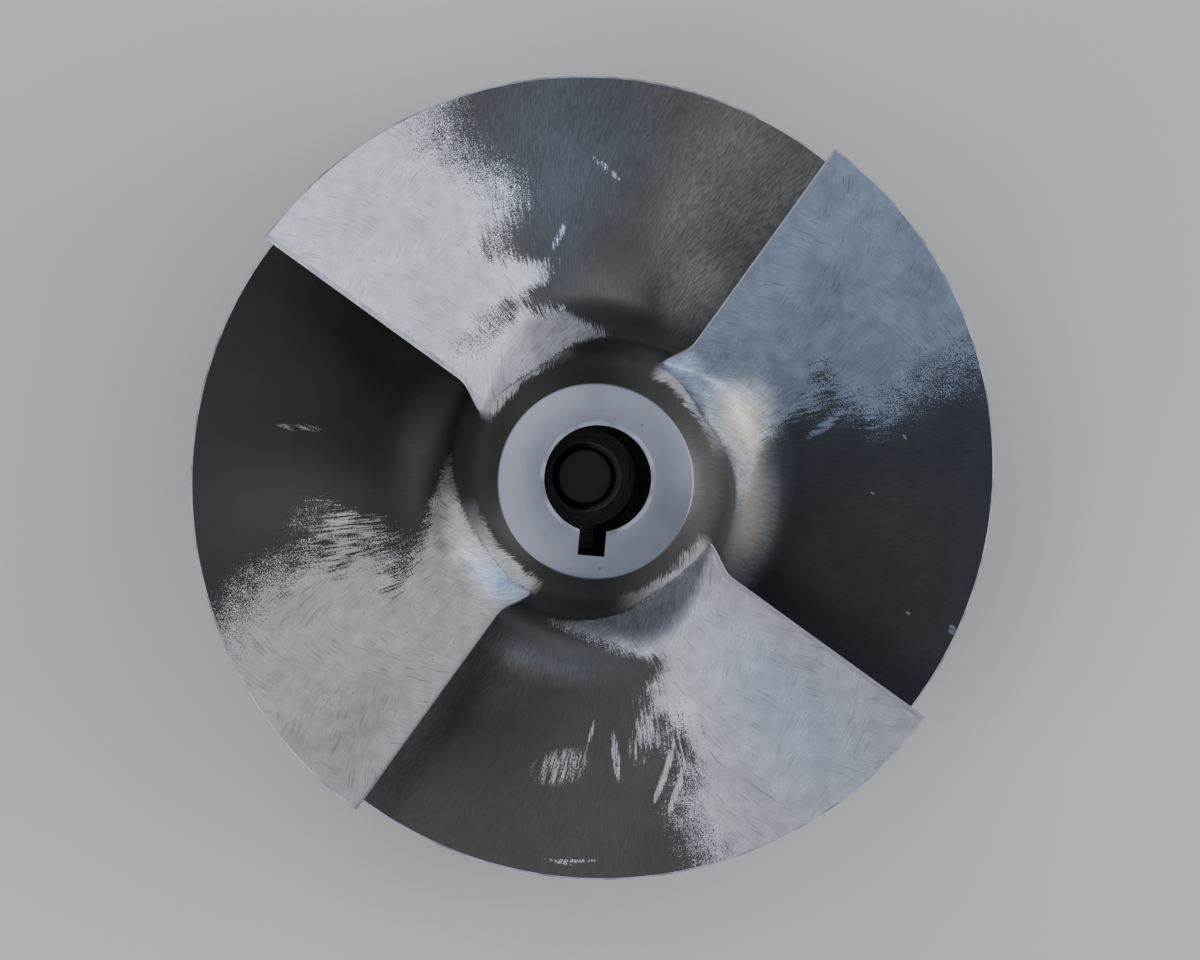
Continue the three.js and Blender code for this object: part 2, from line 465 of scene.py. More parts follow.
class BladePlaces:
    """Finds ovals on the blades, placed by degrees behind the leading edge and radius."""

    def __init__(self, nodes, spot):
        self.behind = nodes.attribute("behind")
        x, y, _ = nodes.parts(spot)
        self.radius = distance(x, y)
        blade = nodes.attribute("blade")
        self.on_each = [number_is(blade, which) for which in range(len(REACHES))]
        self.elsewhere = [(1.0 - here) * 100.0 for here in self.on_each]

    def inside(self, which, degrees, out, long, wide, lean):
        """1 at the middle of an oval on one of the blades, 0 on its outline, below 0 outside."""
        up = self.radius - out * MM
        across = (self.behind - degrees) * (out * math.radians(1) * MM)
        cosine, sine = math.cos(math.radians(lean)), math.sin(math.radians(lean))
        lengthwise = up * (cosine / long / MM) + across * (sine / long / MM)
        crosswise = across * (cosine / wide / MM) - up * (sine / wide / MM)
        return 1.0 - lengthwise * lengthwise - crosswise * crosswise - self.elsewhere[which]

    def soft(self, ovals):
        """For each oval of a list: 1 at its middle, falling softly to 0; and its last number."""
        for which, *oval, amount in ovals:
            inside = self.inside(which, *oval).clamped()
            yield inside * inside, amount


def ground_reach(tree, places):
    """Degrees behind the leading edge where each blade's ground zone ends."""
    first, last = REACH_RADII
    place = places.radius.rising(first * MM, last * MM)
    reach = 0.0
    for points, on_this in zip(REACHES, places.on_each):
        node = tree.add("ShaderNodeFloatCurve", Value=place)
        curve = node.mapping.curves[0]
        spots = [((far - first) / (last - first), degrees / REACH_TOP) for far, degrees in points]
        curve.points[0].location = spots[0]
        curve.points[1].location = spots[-1]
        for spot in spots[1:-1]:
            curve.points.new(*spot)
        node.mapping.update()
        reach = Field(tree.nodes, node.outputs[0]) * on_this * REACH_TOP + reach
    return reach


# How the grinder's zones end: degrees behind the leading edge, radii in millimetres.
ZONE_WANDER = 8
ZONE_SLOPE = 20
HUB_START = 29.5
HUB_WANDER = 4
HUB_LEAVE = 28
HUB_RETREAT = 0.16  # millimetres for each degree behind that
UNDERSIDE_REACH = 14
OUTLET_START = 156


def ground_zone(tree, here, places):
    """Where the grinder went: 0.5 on the zone's border, rising into it and falling outside."""
    behind, radius = places.behind, places.radius
    wander = tree.noise(here, 40.0, 2.0, 4.0) - 0.5
    inlet = (ground_reach(tree, places) + wander * ZONE_WANDER - behind) / ZONE_SLOPE
    start = (behind - HUB_LEAVE).larger(0.0) * (HUB_RETREAT * MM) + HUB_START * MM
    zone = inlet.smaller((radius - start + wander * (HUB_WANDER * MM)) / (HUB_WANDER * MM))
    for which, *oval, strength in PATCHES:
        patch = places.inside(which, *oval) * strength
        zone = zone.larger(patch) if strength > 0 else zone.smaller(patch)

    # Beneath, only the two thin edges are ground.
    beneath = (UNDERSIDE_REACH + wander * 20.0 - behind) / 12.0
    zone = mixed(zone, beneath, tree.attribute("side").under(0.0))
    outlet = (behind - OUTLET_START + wander * 14.0) / 8.0
    return (zone.larger(outlet) + 0.5).clamped()


def painted_light_and_shade(places):
    """Painted light and shade: how much lighter or darker the steel is painted than its blade's tone.
    """
    shade = 1.0
    for inside, factor in places.soft(PAINTED_LIGHT_AND_SHADE):
        shade = (inside * (factor - 1.0) + 1.0) * shade
    return shade


def painted_reflection_tint(places):
    """Painted reflection: how much more bluish the steel is painted than its blade's tone, or warmer
    where below zero.
    """
    tint = 0.0
    for inside, amount in places.soft(PAINTED_REFLECTION_TINTS):
        tint = inside * amount + tint
    return tint


def hub_radius_at(size, height):
    """The hub's outline as a formula of the height."""
    nose = size.back_radius - size.cone - size.face_radius
    level = (height / size.height).clamped() if isinstance(height, Field) else height / size.height
    return size.back_radius - level * size.cone - level**size.nose_power * nose


class BladeRule:
    """The blade's shape as fields, from its named sizes."""

    def __init__(self, tree, hub):
        self.hub = hub
        for name, (socket, kind) in INPUTS.items():
            setattr(self, name, tree.input(socket, kind))

    def swept(self, radius):
        x = ((radius - self.sweep_start) / self.sweep_width).clamped()
        return ((x * math.pi).cos() * 0.5 + 0.5) * self.sweep

    def span(self, radius):
        return (radius - self.hub.face_radius) / (self.tip_radius - self.hub.face_radius)

    def wrap(self, radius):
        return mixed(self.root_wrap, self.tip_wrap, self.span(radius))

    def behind(self, along, radius):
        """Angle behind the straight leading edge, from 0 to 1 along the blade."""
        return mixed(-self.swept(radius), self.wrap(radius), along)

    def middle(self, behind):
        degrees = behind * (180 / math.pi)
        return self.edge_height - self.fall * degrees - self.growth * degrees * degrees.larger(0.0)

    def half(self, along, radius):
        """Half of the blade's thickness, and how far the rounded nose lets it rise, 0 to 1."""
        behind = self.behind(along, radius)
        lead = (behind + self.swept(radius)) * radius
        trail = (self.wrap(radius) - behind) * radius
        full = mixed(self.root_thickness, self.tip_thickness, self.span(radius)) * 0.5
        growth = (lead / self.grind_length).eased().smaller((trail / self.trailing_length).eased())
        nose = (lead.smaller(trail) / self.edge_rounding).clamped()
        rounded = (nose * (2.0 - nose)).larger(0.0).sqrt()
        return mixed(self.edge_thickness * 0.5, full, growth), rounded

    def fillet(self, along):
        arc = self.behind(along, self.sweep_start + self.sweep_width) * self.hub.back_radius
        rest = self.root_wrap * self.hub.back_radius - arc
        growth = (arc / self.grind_length).eased().smaller((rest / self.trailing_length).eased())
        return mixed(self.edge_fillet, self.root_fillet, growth)


# Painted light of each blade, and last of the hub, as each faces the lamps and surroundings in its own
# way: dark skin, ground steel, painted bluish reflection.
BLADE_PAINTED_LIGHT = {
    "skin": (0.52, 1.1, 0.25, 0.7, 0.6),
    "ground_painted_light": (0.78, 2.0, 0.9, 1.27, 2.0),
    "painted_reflection_blue": (1.0, 0.2, 0.0, 0.2, 0.0),
}

# The blade sizes that the tree takes in: the name and kind of each one's socket.
INPUTS = {
    name: (made.keywords["name"], "Int" if made.function == bpy.props.IntProperty else "Float")
    for name, made in BladeSizes.__annotations__.items()
    if name not in ("rows", "flats", "arcs")
}


# Steps of a blade's section, and how closely they crowd together towards the root.
RIM_STEPS = 2
BURIED_STEPS = 2
ROOT_CROWDING = 1.5
WELD = 0.002 * MM  # points closer than this become one


def bent_blade(tree, rule, blade):
    """One closed blade, bent from a flat grid: X runs along it, Y round its section."""
    root_start = RIM_STEPS + blade.flats
    root_end = root_start + blade.arcs
    steps = root_end + BURIED_STEPS
    loop = 2 * steps
    grid = tree.shape("MeshGrid", **{"Vertices X": blade.rows + 1, "Vertices Y": loop + 1})
    grid_x, grid_y, _ = tree.parts(tree.shape("InputPosition"))
    along = (grid_x + 0.5).eased()
    index = ((grid_y + 0.5) * loop).do("ROUND")
    lower = index.over(steps)
    side = 1.0 - lower * 2.0
    step = mixed(index, loop - index, lower)

    # Across the blade: rim, broken edge, flat, root arc, end inside the hub.
    flat = 1.0 - (1.0 - ((step - RIM_STEPS) / blade.flats).clamped()) ** ROOT_CROWDING
    arc = ((step - root_start) / blade.arcs).clamped() * rule.fillet_turn
    buried = step.over(root_end + 0.5)
    closing = step.under(0.5).larger(step.over(steps - 0.5))
    on_rim = step.under(RIM_STEPS - 0.5)
    fillet = rule.fillet(along)
    out = fillet * (1.0 - arc.sin())
    climb = fillet * (1.0 - arc.cos())
    hub = rule.hub
    rough = hub_radius_at(hub, rule.middle(rule.behind(along, hub.back_radius))) + out
    guess = mixed(rule.tip_radius, rough, flat)
    behind = rule.behind(along, guess)
    half, rounded = rule.half(along, guess)
    edge = (half - rule.rim_break * on_rim).larger(0.0)
    height = rule.middle(behind) + (edge + climb) * rounded * side * (1.0 - closing)
    root = hub_radius_at(hub, rule.middle(behind) + (half + climb) * rounded * side) + out
    shell = mixed(rule.tip_radius - rule.rim_break * (1.0 - on_rim), root, flat)
    radius = mixed(shell, rule.buried_radius, buried)
    turn = rule.first_angle - behind
    spot = tree.vector(radius * turn.cos(), radius * turn.sin(), height)

    # What the finishes ask of each place on the blade.
    mesh = tree.store(grid, "behind", behind * (180 / math.pi))
    mesh = tree.store(mesh, "side", side)
    mesh = tree.store(mesh, "lead", (behind + rule.swept(radius)) * radius)
    mesh = tree.store(mesh, "on_blade", 1.0)
    mesh = tree.shape("SetPosition", Geometry=mesh, Position=spot)
    return tree.shape("MergeByDistance", Geometry=mesh, Distance=WELD)


def ring_of(tree, rule, mesh):
    """Copies of the blade turned about the shaft, then uneven as cast, each in its own way."""
    spots = tree.shape("Points", Count=rule.count)
    number = tree.shape("InputIndex")
    turns = tree.vector(0.0, 0.0, number * TURN / rule.count)
    ring = tree.shape("InstanceOnPoints", Points=spots, Instance=mesh, Rotation=turns)
    ring = tree.store(ring, "blade", number, "INSTANCE")
    blades = tree.shape("RealizeInstances", Geometry=ring)
    wave = tree.noise(tree.shape("InputPosition"), rule.wave_scale, 1.5, rule.seed)
    lift = tree.vector(0.0, 0.0, (wave - 0.5) * 2.0 * rule.waviness)
    blades = tree.shape("SetPosition", Geometry=blades, Offset=lift)
    return tree.shape("FlipFaces", Mesh=blades)


def marked(tree, blades):
    """The blades with their ground zones, their painted light and shade, and their painted reflections
    stored on them.
    """
    here = tree.shape("InputPosition")
    places = BladePlaces(tree, here)
    blades = tree.store(blades, "ground", ground_zone(tree, here, places))
    for name, tones in BLADE_PAINTED_LIGHT.items():
        tone = painted_reflection_tint(places) if name == "painted_reflection_blue" else 0.0
        for tone_there, on_this in zip(tones, places.on_each):
            tone = on_this * tone_there + tone
        blades = tree.store(blades, name, tone)
    return tree.store(blades, "shade", painted_light_and_shade(places))


def one_casting(tree, rule, hub_mesh, blades):
    """Hub and blades as one body, with the seam between them worked soft."""
    body = tree.combined("UNION", (hub_mesh, "Mesh 2"), (blades, "Mesh 2"))
    on_blade = tree.blurred(tree.attribute("on_blade"), 5)
    near_seam = (on_blade * (1.0 - on_blade) * 5.0).clamped()
    place = tree.shape("InputPosition")
    soft = tree.blurred(place, rule.seam_passes, "FLOAT_VECTOR")
    move = tree.vectors("SCALE", tree.vectors("SUBTRACT", soft, place), near_seam)
    body = tree.store(body, "ground", tree.blurred(tree.attribute("ground"), 3))
    # The hub keeps its own painted light and takes no painted light or shade from the ovals.
    hub_tones = {"shade": 1.0, **{name: tones[-1] for name, tones in BLADE_PAINTED_LIGHT.items()}}
    for name, hub_tone in hub_tones.items():
        own = tree.blurred(tree.attribute(name), 5)
        body = tree.store(body, name, own + (1.0 - on_blade) * hub_tone)
    return tree.shape("SetPosition", Geometry=body, Offset=move)


def keyed(tree, hub, body):
    """The body with its keyway cut, from the step in the bore to the inlet face."""
    key_width = tree.input("Key width")
    key_depth = tree.input("Key depth")
    key_angle = tree.input("Key angle")
    key = tree.shape("MeshCube", Size=tree.vector(key_depth, key_width, hub.height))
    half_depth = key_depth * 0.5
    above_step = hub.shoulder + 0.5 * hub.height
    middle = tree.vector(key_angle.cos() * half_depth, key_angle.sin() * half_depth, above_step)
    turned = tree.vector(0.0, 0.0, key_angle)
    key = tree.shape("Transform", Geometry=key, Translation=middle, Rotation=turned)
    return tree.combined("DIFFERENCE", (body, "Mesh 1"), (key, "Mesh 2"))


def faced(tree, rule, body):
    """The body with its materials: cast all over, turned in the bore, on the hub's ends and the rim."""
    hub = rule.hub
    x, y, z = tree.parts(tree.shape("InputPosition"))
    out = distance(x, y)
    in_bore = out.under(hub.key_depth + 0.5 * MM) * z.under(hub.height - 0.8 * hub.bore_chamfer)
    mouth = out.under(hub.bore_radius + hub.bore_chamfer) * (1.0 - in_bore)
    on_end = z.over(hub.height - 0.2 * MM).larger(z.under(0.8 * hub.back_break))
    rim = out.over(rule.tip_radius - 0.75 * rule.rim_break).larger(mouth)
    finishes = {"Cast steel": True, "Turned steel": on_end, "Bored steel": in_bore, "Turned edge": rim}
    body = tree.shape("RealizeInstances", Geometry=body)
    for name, chosen in finishes.items():
        material = tree.input(name, "Material")
        body = tree.shape("SetMaterial", Geometry=body, Selection=chosen, Material=material)
    return body


def blade_tree(blade, hub):
    """Builds the tree that lays helical blades on the hub, joins them and cuts the keyway."""
    tree = Tree("Helical blades on a hub")
    hub_mesh = tree.input("Hub", "Geometry")
    rule = BladeRule(tree, hub)
    blades = marked(tree, ring_of(tree, rule, bent_blade(tree, rule, blade)))
    body = keyed(tree, hub, one_casting(tree, rule, hub_mesh, blades))
    tree.finish(faced(tree, rule, body))
    return tree


# Meshes


NOSE_CROWDING = 1.6  # rows crowd together towards the nose


def turned_hub(size):
    """The hub with its stepped bore: one closed outline turned round the shaft axis."""
    top = size.height
    outline = [
        (size.small_radius + size.end_chamfer, 0),
        (size.back_radius - size.back_break, 0),
    ]
    for row in range(size.rows + 1):
        part = 1 - (1 - row / size.rows) ** NOSE_CROWDING
        height = size.back_break + (top - size.face_break - size.back_break) * part
        outline.append((hub_radius_at(size, height), height))
    outline += [
        (size.face_radius - size.face_break, top),
        (size.bore_radius + size.bore_chamfer, top),
        (size.bore_radius, top - size.bore_chamfer),
        (size.bore_radius, size.shoulder),
        (size.small_radius + size.step_chamfer, size.shoulder),
        (size.small_radius, size.shoulder - size.step_chamfer),
        (size.small_radius, size.end_chamfer),
    ]
    points = []
    faces = []
    rounds = size.segments
    for radius, height in outline:
        # Only the cast outside is off centre; the bore runs true.
        off = (height / top) ** size.nose_power if radius > 0.8 * size.face_radius else 0
        for step in range(rounds):
            turn = TURN * step / rounds
            x = radius * math.cos(turn) + off * size.nose_shift_x
            y = radius * math.sin(turn) + off * size.nose_shift_y
            points.append((x, y, height))
    for row in range(len(outline)):
        after = (row + 1) % len(outline)
        for step in range(rounds):
            beside = (step + 1) % rounds
            here, there = row * rounds, after * rounds
            faces.append((here + step, here + beside, there + beside, there + step))
    mesh = bpy.data.meshes.new("turned_hub")
    mesh.from_pydata(points, [], faces)
    return mesh


def settled(obj):
    """The object's mesh with its modifiers applied, which are then removed."""
    graph = bpy.context.evaluated_depsgraph_get()
    mesh = bpy.data.meshes.new_from_object(obj.evaluated_get(graph))
    obj.modifiers.clear()
    obj.data = mesh
    return mesh


# Materials


class Effect(Nodes):
    """A shader node group that several materials share."""

    def __init__(self, name, inputs, output):
        super().__init__(bpy.data.node_groups.new(name, "ShaderNodeTree"))
        self.socket("Vector", "Vector")
        for number in inputs:
            self.socket(number, "Float")
        self.socket(output, "Float", "OUTPUT")
        self.entry = self.nodes.nodes.new("NodeGroupInput")

    def input(self, name):
        return Field(self.nodes, self.entry.outputs[name])

    def finish(self, value):
        feed(self.nodes, value, self.nodes.nodes.new("NodeGroupOutput").inputs[0])
        return self.nodes


def strokes():
    """Fine lines that run out from the shaft axis or, where Round is 1, round it; Skew bends them."""
    effect = Effect("Strokes", ("Lines", "Length", "Round", "Skew"), "Lines")
    x, y, z = effect.parts(effect.input("Vector"))
    radius = distance(x, y)
    arc = y.do("ARCTAN2", x) * 0.06
    skew = effect.input("Skew")
    fine = effect.input("Lines")
    coarse = effect.input("Length")
    outward = effect.vector((arc + radius * skew) * fine, radius * coarse, z * coarse)
    around = effect.vector((radius + arc * skew) * fine, arc * coarse, z * coarse)
    across = effect.vectors("SUBTRACT", around, outward)
    picked = effect.vectors("ADD", outward, effect.vectors("SCALE", across, effect.input("Round")))
    return effect.finish(effect.noise(picked, 1.0, 1.0))


def specks():
    """Small round pits scattered over the surface: 1 in a pit, 0 outside."""
    effect = Effect("Specks", ("Spacing", "Size", "Share"), "Specks")
    many = 1.0 / effect.input("Spacing")
    cells = effect.add("ShaderNodeTexVoronoi", Vector=effect.input("Vector"), Scale=many)
    away = Field(effect.nodes, cells.outputs["Distance"])
    chance, grow, _ = effect.parts(Field(effect.nodes, cells.outputs["Color"]))
    reach = effect.input("Size") * (grow + 0.4)
    spot = 1.0 - away.rising(reach * 0.6, reach)
    return effect.finish(spot * chance.under(effect.input("Share")))


class Surface(Nodes):
    """A material whose colour, roughness and height are fed by its nodes."""

    effects = {}

    def __init__(self, name):
        self.material = bpy.data.materials.new(name)
        self.material.use_nodes = True
        super().__init__(self.material.node_tree)
        self.shader = self.nodes.nodes["Principled BSDF"]
        self.place = Field(self.nodes, self.add("ShaderNodeTexCoord").outputs["Object"])

    def attribute(self, name):
        node = self.add("ShaderNodeAttribute", {"attribute_name": name})
        return Field(self.nodes, node.outputs["Fac"])

    def effect(self, maker, **links):
        """One of the shared groups, built when it is first asked for."""
        if maker.__name__ not in self.effects:
            self.effects[maker.__name__] = maker()
        group = {"node_tree": self.effects[maker.__name__]}
        return self.field("ShaderNodeGroup", group, **{"Vector": self.place, **links})

    def blend(self, first, second, amount):
        """A colour between two colours."""
        node = self.add("ShaderNodeMix", {"data_type": "RGBA"}, Factor=amount)
        for name, tint in (("A", first), ("B", second)):
            socket = next(s for s in node.inputs if s.name == name and s.type == "RGBA")
            feed(self.nodes, tint if isinstance(tint, Field) else (*tint, 1), socket)
        return Field(self.nodes, next(s for s in node.outputs if s.type == "RGBA"))

    def tinted(self, tint, amount):
        """A colour made lighter or darker by a number."""
        return self.vectors("SCALE", self.vector(*tint), amount)

    def multiplied(self, tint, filter_tint, amount):
        """A colour seen through another one, as far as the amount goes."""
        channels = [mixed(1.0, channel, amount) for channel in filter_tint]
        return self.vectors("MULTIPLY", tint, self.vector(*channels))

    def raised(self, height, depth, strength):
        """Lets the height stand out by a depth, without changing the mesh."""
        bump = self.field("ShaderNodeBump", Height=height, Distance=depth, Strength=strength)
        feed(self.nodes, bump, self.shader.inputs["Normal"])

    def finish(self, tint, roughness, metallic=1.0):
        looks = {"Base Color": tint, "Roughness": roughness, "Metallic": metallic}
        for name, value in looks.items():
            feed(self.nodes, value, self.shader.inputs[name])
        return self.material


def scaled(tint, factor):
    return tuple(min(1.0, channel * factor) for channel in tint)


# The ledge round each root: degrees behind the leading edge, radii and height in millimetres.
LEDGE_BEGINS = (-9, -3)
LEDGE_ENDS = (46, 18)
LEDGE_INNER = 27
LEDGE_OUTER = 32
LEDGE_FLOOR = 82

BRIGHTEST_TONE = 2.15
BRIGHTEST_STROKE = 2.27


class CastSteel(Surface):
    """Dark brushed skin, hand-ground bright behind each leading edge and along each outlet edge."""

    def __init__(self):
        super().__init__("cast_steel")
        self.on_blade = self.attribute("on_blade")
        # Painted light and shade from the ovals, stored on the mesh.
        self.shade = self.attribute("shade")
        self.places = BladePlaces(self, self.place)
        self.radius = self.places.radius
        self.x, self.y, self.z = self.parts(self.place)
        patches = self.add("ShaderNodeTexNoise", Vector=self.place, Scale=60.0, Detail=2.0)
        self.cloud = Field(self.nodes, patches.outputs["Fac"])
        self.cover = self.noise(self.place, 260.0, 2.0, 0.3)
        self.grit = self.noise(self.place, 4000.0, 0.0)
        self.pits = self.effect(specks, Spacing=0.9 * MM, Size=0.26, Share=0.5)
        self.pits = self.pits * self.cover.rising(0.52, 0.62)
        self.near_hub = 1.0 - self.radius.rising(37 * MM, 50 * MM)

        # The grinder's strokes change direction from patch to patch.
        drift = self.vectors("SCALE", Field(self.nodes, patches.outputs["Color"]), 4.5 * MM)
        self.bent = self.vectors("ADD", self.place, drift)
        lines = {"Vector": self.bent, "Lines": 3200.0, "Length": 190.0}
        self.along = self.effect(strokes, **lines, Round=0.0, Skew=-0.35)
        self.across = self.effect(strokes, **lines, Round=1.0, Skew=0.5)
        self.brushed = mixed(self.along, self.across, self.cloud.eased(0.44, 0.56))
        self.comb = self.effect(strokes, Lines=2100.0, Length=170.0, Round=0.0, Skew=0.1)

    def ground(self, zone):
        """The zone with a border of ragged strokes and of pits that the grinder did not reach."""
        rim_side = self.radius.rising(66 * MM, 78 * MM)
        stipple = mixed(mixed(0.4, 0.9, rim_side), 1.2, self.cloud.rising(0.45, 0.6))
        torn = mixed(self.comb, self.along, self.radius.rising(53 * MM, 46 * MM))
        ragged = (torn - 0.5) * mixed(0.8, 0.2, rim_side) + (self.cover - 0.5) * 0.3
        ragged = ragged + (self.grit - 0.5) * stipple
        return (zone + ragged).eased(0.4, 0.6) * zone.rising(0.1, 0.3)

    def touched(self):
        """Single strokes of the grinder outside its zones."""
        stroke = -1.0
        for which, *oval, strength in STROKES:
            stroke = (self.places.inside(which, *oval) * strength).larger(stroke)
        worn = stroke + (self.comb - 0.5) * 2.4 + (self.grit - 0.5) * 1.4 - 0.1
        return worn.rising(0.0, 0.3) * stroke.rising(-0.04, 0.08) * self.on_blade

    def ledge(self, blades):
        """The bright ledge on the hub where the grinder ran round each root."""
        spacing = TURN / blades.count
        room = math.radians(10)
        after = blades.first_angle + room - self.y.do("ARCTAN2", self.x)
        after = after.do("FLOORED_MODULO", spacing) - room
        ledge = after.rising(*map(math.radians, LEDGE_BEGINS))
        ledge = ledge * after.rising(*map(math.radians, LEDGE_ENDS))
        start = (self.y - self.x).larger(0.0) / self.radius * 0.8 * MM + LEDGE_INNER * MM
        inner = (self.radius - start) / MM - after.larger(0.2) * 1.6
        inner = inner + (self.across - 0.5) * 4.0 + (self.cover - 0.5) * 2.5
        outer = (after.larger(0.0) * 60 * MM + LEDGE_OUTER * MM - self.radius) / MM
        above = (self.z - LEDGE_FLOOR * MM + after.larger(0.0) * 14 * MM) / MM
        ledge = ledge * inner.rising(0.0, 1.2) * outer.clamped() * above.clamped()
        return ledge * (1.0 - self.on_blade)

    def skin(self, steel):
        """The dark skin with its fine hair and its painted light and shade, and painted light on the
        hub's sides, most on the right.
        """
        rightward = self.x / self.radius
        # Painted light: the hub is lighter towards its sides, most on the right.
        hub_side_light = rightward * rightward * 0.5 + rightward.larger(0.0) * 2.15 + 0.85
        tone = self.attribute("skin") * self.shade * mixed(1.0, hub_side_light, self.near_hub)
        lines = {"Lines": 3400.0, "Length": 420.0, "Round": 0.0, "Skew": 0.15}
        hair = self.effect(strokes, Vector=self.bent, **lines)
        lively = (tone * 0.15).larger(0.05).smaller(0.28) * (1.0 - self.near_hub * 0.6)
        tone = tone * mixed(0.85, 1.15, self.cloud.rising(0.3, 0.7))
        tone = tone * (hair.rising(0.35, 0.65, -1.0, 1.0) * lively + 1.0)
        return self.blend(self.tinted(steel, tone), scaled(steel, 0.3), self.pits * 0.4)

    def bright(self, steel):
        """The ground steel with the grinder's strokes, its scratches and pits, made lighter by each
        blade's painted light and by the painted highlights and shade.
        """
        scratch = self.along.rising(0.57, 0.68) * self.cloud.rising(0.54, 0.46)
        scratch = scratch.larger(self.across.rising(0.57, 0.68) * self.cloud.rising(0.48, 0.56))
        light = mixed(0.87, 1.08, self.cloud.rising(0.3, 0.7))
        light = light * mixed(0.9, 1.1, self.cover.rising(0.35, 0.65))
        light = light * mixed(0.92, 1.08, self.brushed.rising(0.36, 0.64))
        light = light * mixed(0.95, 1.05, self.grit.rising(0.3, 0.7))
        light = light * (1.0 - (scratch * 0.35).larger(self.pits * 0.4))
        light = light * ((self.across - 0.5) * self.near_hub * 1.1 + 1.0)
        # Painted highlights streak with the strokes and patches.
        glow = (self.brushed - 0.5) * 1.4 + (self.cover - 0.5) * 1.4
        glow = (self.shade - 1.0).larger(0.0) * glow + self.shade
        tone = (self.attribute("ground_painted_light") * glow).smaller(BRIGHTEST_TONE)
        return self.tinted(steel, (light * tone).smaller(BRIGHTEST_STROKE))

    def edged(self, tint, finish):
        """The colour with the narrow bevel and the painted highlight along each leading edge."""
        lead = self.attribute("lead")
        bevel = lead.rising(1.5 * MM, 1.1 * MM) * self.on_blade
        # Painted highlight: a bright streak along the very edge.
        edge_highlight = lead.rising(0.4 * MM, 0.2 * MM) * self.on_blade
        knocked = bevel * (0.3 + self.cover.rising(0.45, 0.6) * 0.4)
        tint = self.blend(tint, finish.bevel, knocked)
        return self.blend(tint, scaled(finish.ground, 1.8), edge_highlight * 0.7)


def cast_steel(finish, blades):
    """The casting's surface put together: skin and ground steel with their painted light and shade,
    painted bluish or warm reflections, and a painted highlight along each leading edge.
    """
    steel = CastSteel()
    zone = steel.attribute("ground")
    ledge = steel.ledge(blades)
    ground = steel.ground(zone).larger(steel.touched() * 0.85).larger(ledge * 0.9)
    tint = steel.blend(steel.skin(finish.cast), steel.bright(finish.ground), ground)
    # Painted reflections: bluish, or warm where the amount is below zero.
    tint = steel.multiplied(tint, finish.painted_sky_tint, steel.attribute("painted_reflection_blue"))
    tint = steel.edged(tint, finish)
    rough = mixed(0.38, 0.4, ground) + (steel.cloud - 0.5) * 0.1
    rough = rough + (steel.brushed - 0.5) * mixed(0.04, 0.15, ground)
    # Less metallic under the painted highlights and on the ledge, so that they show bright.
    matt = ((steel.shade - 1.0).clamped() * 0.6).larger(ledge * 0.7)
    height = steel.brushed * mixed(0.25, 1.0, zone) + steel.cover * mixed(0.6, 0.0, zone)
    steel.raised(height, 0.05 * MM, 0.35)
    return steel.finish(tint, rough, mixed(0.4, 0.85, ground) * (1.0 - matt))


TURNING_DEPTH = 0.03 * MM


def turned_steel(finish):
    """Faced steel with fine turning lines and a few nicks."""
    steel = Surface("turned_steel")
    rings = steel.effect(strokes, Lines=3600.0, Length=40.0, Round=1.0, Skew=0.0)
    cloud = steel.noise(steel.place, 90.0, 2.0)
    nicks = steel.effect(specks, Spacing=5 * MM, Size=0.09, Share=0.25)
    dull, clean = scaled(finish.turned, 0.93), scaled(finish.turned, 1.12)
    tint = steel.blend(dull, clean, cloud.rising(0.35, 0.65))
    tint = steel.blend(tint, scaled(finish.turned, 1.25), rings.rising(0.5, 0.8) * 0.25)
    tint = steel.blend(tint, scaled(finish.cast, 1.5), nicks * 0.6)
    steel.raised(rings, TURNING_DEPTH, 0.35)
    return steel.finish(tint, 0.3 + cloud * 0.12)


def bored_steel(finish, hub):
    """The bore's wall, keyway and step: oily cut steel, with the small bore's rubbed seat painted
    bright as a highlight on its right side only.
    """
    steel = Surface("bored_steel")
    rings = steel.effect(strokes, Lines=3600.0, Length=40.0, Round=1.0, Skew=0.0)
    x, y, z = steel.parts(steel.place)
    radius = distance(x, y)
    seat = z.over(hub.shoulder - hub.step_chamfer) * z.under(hub.shoulder + 0.1 * MM)
    seat = seat * (radius - hub.small_radius).rising(0.5 * MM, 1.0 * MM)
    seat = seat * (radius - hub.small_radius).rising(hub.step_chamfer + 0.3 * MM, hub.step_chamfer)
    # Painted highlight: the seat is bright on its right side only.
    seat = seat * (x / radius).rising(-0.2, 0.3)
    oily, bare = scaled(finish.cast, 0.6), scaled(finish.cast, 1.6)
    tint = steel.blend(oily, bare, rings.rising(0.35, 0.75))
    tint = steel.blend(tint, finish.seat, seat)
    steel.raised(rings, TURNING_DEPTH, 0.3)
    return steel.finish(tint, 0.34 + rings * 0.2, 1.0 - seat)


def turned_edge(finish):
    """The rim and the chamfers of the bore, turned bright and knocked here and there."""
    steel = Surface("turned_edge")
    rings = steel.effect(strokes, Lines=3000.0, Length=60.0, Round=1.0, Skew=0.0)
    knocks = steel.noise(steel.place, 170.0, 2.0)
    knocked, bright = scaled(finish.turned, 1.2), scaled(finish.turned, 2.4)
    tint = steel.blend(knocked, bright, knocks.rising(0.34, 0.56))
    steel.raised(rings, TURNING_DEPTH, 0.3)
    return steel.finish(tint, 0.4 + rings * 0.1, 0.25)


def studio_floor(finish):
    """Matt pale floor."""
    floor = Surface("studio_floor")
    faint = floor.noise(floor.place, 4.0, 2.0)
    tint = floor.blend(scaled(finish.floor, 0.98), scaled(finish.floor, 1.02), faint)
    return floor.finish(tint, 0.85, 0.0)


# Camera, floor and light, placed by the photograph's frame


